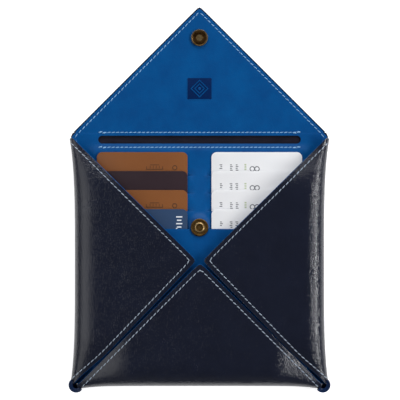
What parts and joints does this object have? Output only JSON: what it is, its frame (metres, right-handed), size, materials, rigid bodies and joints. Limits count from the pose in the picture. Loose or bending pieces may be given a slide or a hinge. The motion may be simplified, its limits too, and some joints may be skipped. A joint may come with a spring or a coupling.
{
  "type": "envelope wallet",
  "caption": "Square leather envelope wallet with pointed folding flaps, slit card pockets with cards, a note pocket and a magnetic snap.",
  "frame": {"origin": "middle of the back panel's outer face, on which the wallet lies", "axes": "+X to the right, +Y towards the open top flap, +Z out of the back panel towards the folded flaps"},
  "size_m": [0.155, 0.2252, 0.0164],
  "materials": {
    "navy_leather": "smooth glossy grained leather",
    "blue_leather": "smooth satin-gloss leather",
    "greyboard": "matt board",
    "satin_lining": "satin-weave lining cloth",
    "pale_thread": "waxed polyester thread",
    "sky_thread": "waxed polyester thread",
    "dark_antique_brass": "antiqued brass plate",
    "light_antique_brass": "antiqued brass plate",
    "magnet_steel": "plated steel",
    "washer_steel": "plain steel",
    "white_card": "laminated plastic card",
    "tan_card": "laminated plastic card",
    "brown_card": "laminated plastic card",
    "slate_card": "laminated plastic card"
  },
  "bodies": {
    "root": {"back_outer": "navy_leather", "back_board": "greyboard", "back_lining": "blue_leather", "note_pocket_satin": "satin_lining", "card_panel": "blue_leather", "left_tongue_1": "satin_lining", "left_tongue_2": "satin_lining", "left_tongue_3": "satin_lining", "left_tongue_4": "satin_lining", "right_tongue_1": "satin_lining", "right_tongue_2": "satin_lining", "right_tongue_3": "satin_lining", "right_tongue_4": "satin_lining", "slit_lower_thread": "sky_thread", "panel_snap_cap": "light_antique_brass", "panel_snap_pole": "magnet_steel", "panel_snap_washer": "washer_steel"},
    "left_spine": {"left_spine_outer": "navy_leather", "left_spine_lining": "blue_leather"},
    "left_flap": {"left_flap_outer": "navy_leather", "left_flap_board": "greyboard", "left_flap_lining": "blue_leather", "left_flap_thread": "pale_thread"},
    "right_spine": {"right_spine_outer": "navy_leather", "right_spine_lining": "blue_leather"},
    "right_flap": {"right_flap_outer": "navy_leather", "right_flap_board": "greyboard", "right_flap_lining": "blue_leather", "right_flap_thread": "pale_thread"},
    "bottom_spine": {"bottom_spine_outer": "navy_leather", "bottom_spine_lining": "blue_leather"},
    "bottom_flap": {"bottom_flap_outer": "navy_leather", "bottom_flap_board": "greyboard", "bottom_flap_lining": "blue_leather", "bottom_flap_thread": "pale_thread"},
    "top_spine": {"top_spine_outer": "navy_leather", "top_spine_lining": "blue_leather", "top_spine_satin": "satin_lining", "slit_upper_thread": "sky_thread"},
    "top_flap": {"top_flap_outer": "navy_leather", "top_flap_board": "greyboard", "top_flap_lining": "blue_leather", "top_flap_thread": "pale_thread", "flap_snap_cap": "dark_antique_brass", "flap_snap_magnet": "magnet_steel", "flap_snap_washer": "washer_steel"},
    "left_card_1_body": {"left_card_1": "tan_card"},
    "left_card_2_body": {"left_card_2": "brown_card"},
    "left_card_3_body": {"left_card_3": "tan_card"},
    "left_card_4_body": {"left_card_4": "slate_card"},
    "right_card_1_body": {"right_card_1": "white_card"},
    "right_card_2_body": {"right_card_2": "white_card"},
    "right_card_3_body": {"right_card_3": "white_card"},
    "right_card_4_body": {"right_card_4": "white_card"}
  },
  "joints": [
    {"name": "left_fold_lower", "type": "hinge", "parent": "root", "child": "left_spine", "pos_m": [-0.072, 0, 0.0022], "axis": [0, -1, 0], "range_deg": [0, 90]},
    {"name": "left_fold_upper", "type": "hinge", "parent": "left_spine", "child": "left_flap", "pos_m": [-0.072, 0, 0.0142], "axis": [0, -1, 0], "range_deg": [0, 90]},
    {"name": "right_fold_lower", "type": "hinge", "parent": "root", "child": "right_spine", "pos_m": [0.072, 0, 0.0022], "axis": [0, 1, 0], "range_deg": [0, 90]},
    {"name": "right_fold_upper", "type": "hinge", "parent": "right_spine", "child": "right_flap", "pos_m": [0.072, 0, 0.0142], "axis": [0, 1, 0], "range_deg": [0, 90]},
    {"name": "bottom_fold_lower", "type": "hinge", "parent": "root", "child": "bottom_spine", "pos_m": [0, -0.0705, 0.0022], "axis": [1, 0, 0], "range_deg": [0, 90]},
    {"name": "bottom_fold_upper", "type": "hinge", "parent": "bottom_spine", "child": "bottom_flap", "pos_m": [0, -0.0705, 0.0142], "axis": [1, 0, 0], "range_deg": [0, 90]},
    {"name": "top_fold_lower", "type": "hinge", "parent": "root", "child": "top_spine", "pos_m": [0, 0.0722, 0.0022], "axis": [-1, 0, 0], "range_deg": [-90, 0]},
    {"name": "top_fold_upper", "type": "hinge", "parent": "top_spine", "child": "top_flap", "pos_m": [0, 0.0842, 0.0022], "axis": [-1, 0, 0], "range_deg": [-90, 0]},
    {"name": "left_card_1_slide", "type": "slide", "parent": "root", "child": "left_card_1_body", "axis": [0, 1, 0], "range_m": [0, 0.075]},
    {"name": "left_card_2_slide", "type": "slide", "parent": "root", "child": "left_card_2_body", "axis": [0, 1, 0], "range_m": [0, 0.075]},
    {"name": "left_card_3_slide", "type": "slide", "parent": "root", "child": "left_card_3_body", "axis": [0, 1, 0], "range_m": [0, 0.075]},
    {"name": "left_card_4_slide", "type": "slide", "parent": "root", "child": "left_card_4_body", "axis": [0, 1, 0], "range_m": [0, 0.075]},
    {"name": "right_card_1_slide", "type": "slide", "parent": "root", "child": "right_card_1_body", "axis": [0, 1, 0], "range_m": [0, 0.075]},
    {"name": "right_card_2_slide", "type": "slide", "parent": "root", "child": "right_card_2_body", "axis": [0, 1, 0], "range_m": [0, 0.075]},
    {"name": "right_card_3_slide", "type": "slide", "parent": "root", "child": "right_card_3_body", "axis": [0, 1, 0], "range_m": [0, 0.075]},
    {"name": "right_card_4_slide", "type": "slide", "parent": "root", "child": "right_card_4_body", "axis": [0, 1, 0], "range_m": [0, 0.075]}
  ],
  "couplings": [
    {"joint": "left_fold_upper", "follows": "left_fold_lower", "ratio": 1},
    {"joint": "right_fold_upper", "follows": "right_fold_lower", "ratio": 1},
    {"joint": "bottom_fold_upper", "follows": "bottom_fold_lower", "ratio": 1},
    {"joint": "top_fold_upper", "follows": "top_fold_lower", "ratio": 1}
  ]
}
